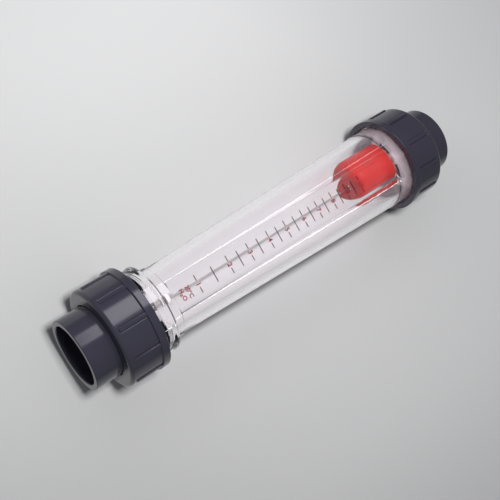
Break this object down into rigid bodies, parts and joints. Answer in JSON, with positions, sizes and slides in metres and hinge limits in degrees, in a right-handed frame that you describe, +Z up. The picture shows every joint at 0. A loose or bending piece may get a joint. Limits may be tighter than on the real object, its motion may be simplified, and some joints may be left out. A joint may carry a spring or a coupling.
{
  "type": "rotameter",
  "caption": "Tapered-tube flow meter: a red float rides a steel guide rod in a clear scaled tube between two dark union couplings with pipe sockets.",
  "frame": {"origin": "centre of the lower pipe socket's rim, which the meter stands on", "axes": "+Z up the tube in the direction of flow, the flat scale panel faces -Y, +X to the scale's right"},
  "size_m": [0.109, 0.109, 0.48],
  "materials": {
    "clear_plastic": "clear moulded acrylic, polished",
    "grey_pvc": "dark slate grey moulded PVC, satin",
    "red_plastic": "red moulded plastic, glossy",
    "stainless_steel": "turned stainless steel",
    "holder_plastic": "light grey moulded plastic",
    "black_rubber": "black rubber"
  },
  "bodies": {
    "tube": {"measuring_tube": "clear_plastic", "lower_rod_holder": "holder_plastic", "upper_rod_holder": "holder_plastic", "guide_rod": "stainless_steel", "lower_rod_washer": "stainless_steel", "upper_rod_washer": "stainless_steel", "lower_rod_nut": "stainless_steel", "upper_rod_nut": "stainless_steel", "stop_sleeve": "stainless_steel", "upper_stop_sleeve": "stainless_steel", "lower_bumper": "holder_plastic", "upper_bumper": "black_rubber"},
    "float": {"float_shell": "red_plastic", "float_ballast": "stainless_steel", "float_cap": "red_plastic", "nose_bush": "stainless_steel", "cap_bush": "stainless_steel"},
    "lower_tail": {"lower_socket_end": "grey_pvc", "lower_sealing_ring": "black_rubber"},
    "lower_nut": {"lower_union_nut": "grey_pvc"},
    "upper_tail": {"upper_socket_end": "grey_pvc", "upper_sealing_ring": "black_rubber"},
    "upper_nut": {"upper_union_nut": "grey_pvc"}
  },
  "joints": [
    {"name": "float_slide", "type": "slide", "parent": "tube", "child": "float", "axis": [0, 0, 1], "range_m": [-0.2483, 0]},
    {"name": "lower_tail_travel", "type": "slide", "parent": "tube", "child": "lower_tail", "axis": [0, 0, -1], "range_m": [0, 0.02]},
    {"name": "lower_nut_turn", "type": "hinge", "parent": "lower_tail", "child": "lower_nut", "pos_m": [0, 0, 0.05], "axis": [0, 0, -1], "range_deg": [0, 1800]},
    {"name": "upper_tail_travel", "type": "slide", "parent": "tube", "child": "upper_tail", "axis": [0, 0, 1], "range_m": [0, 0.02]},
    {"name": "upper_nut_turn", "type": "hinge", "parent": "upper_tail", "child": "upper_nut", "pos_m": [0, 0, 0.43], "axis": [0, 0, 1], "range_deg": [0, 1800]}
  ],
  "couplings": [
    {"joint": "lower_tail_travel", "follows": "lower_nut_turn", "m_per_rad": 0.0006366},
    {"joint": "upper_tail_travel", "follows": "upper_nut_turn", "m_per_rad": 0.0006366}
  ]
}
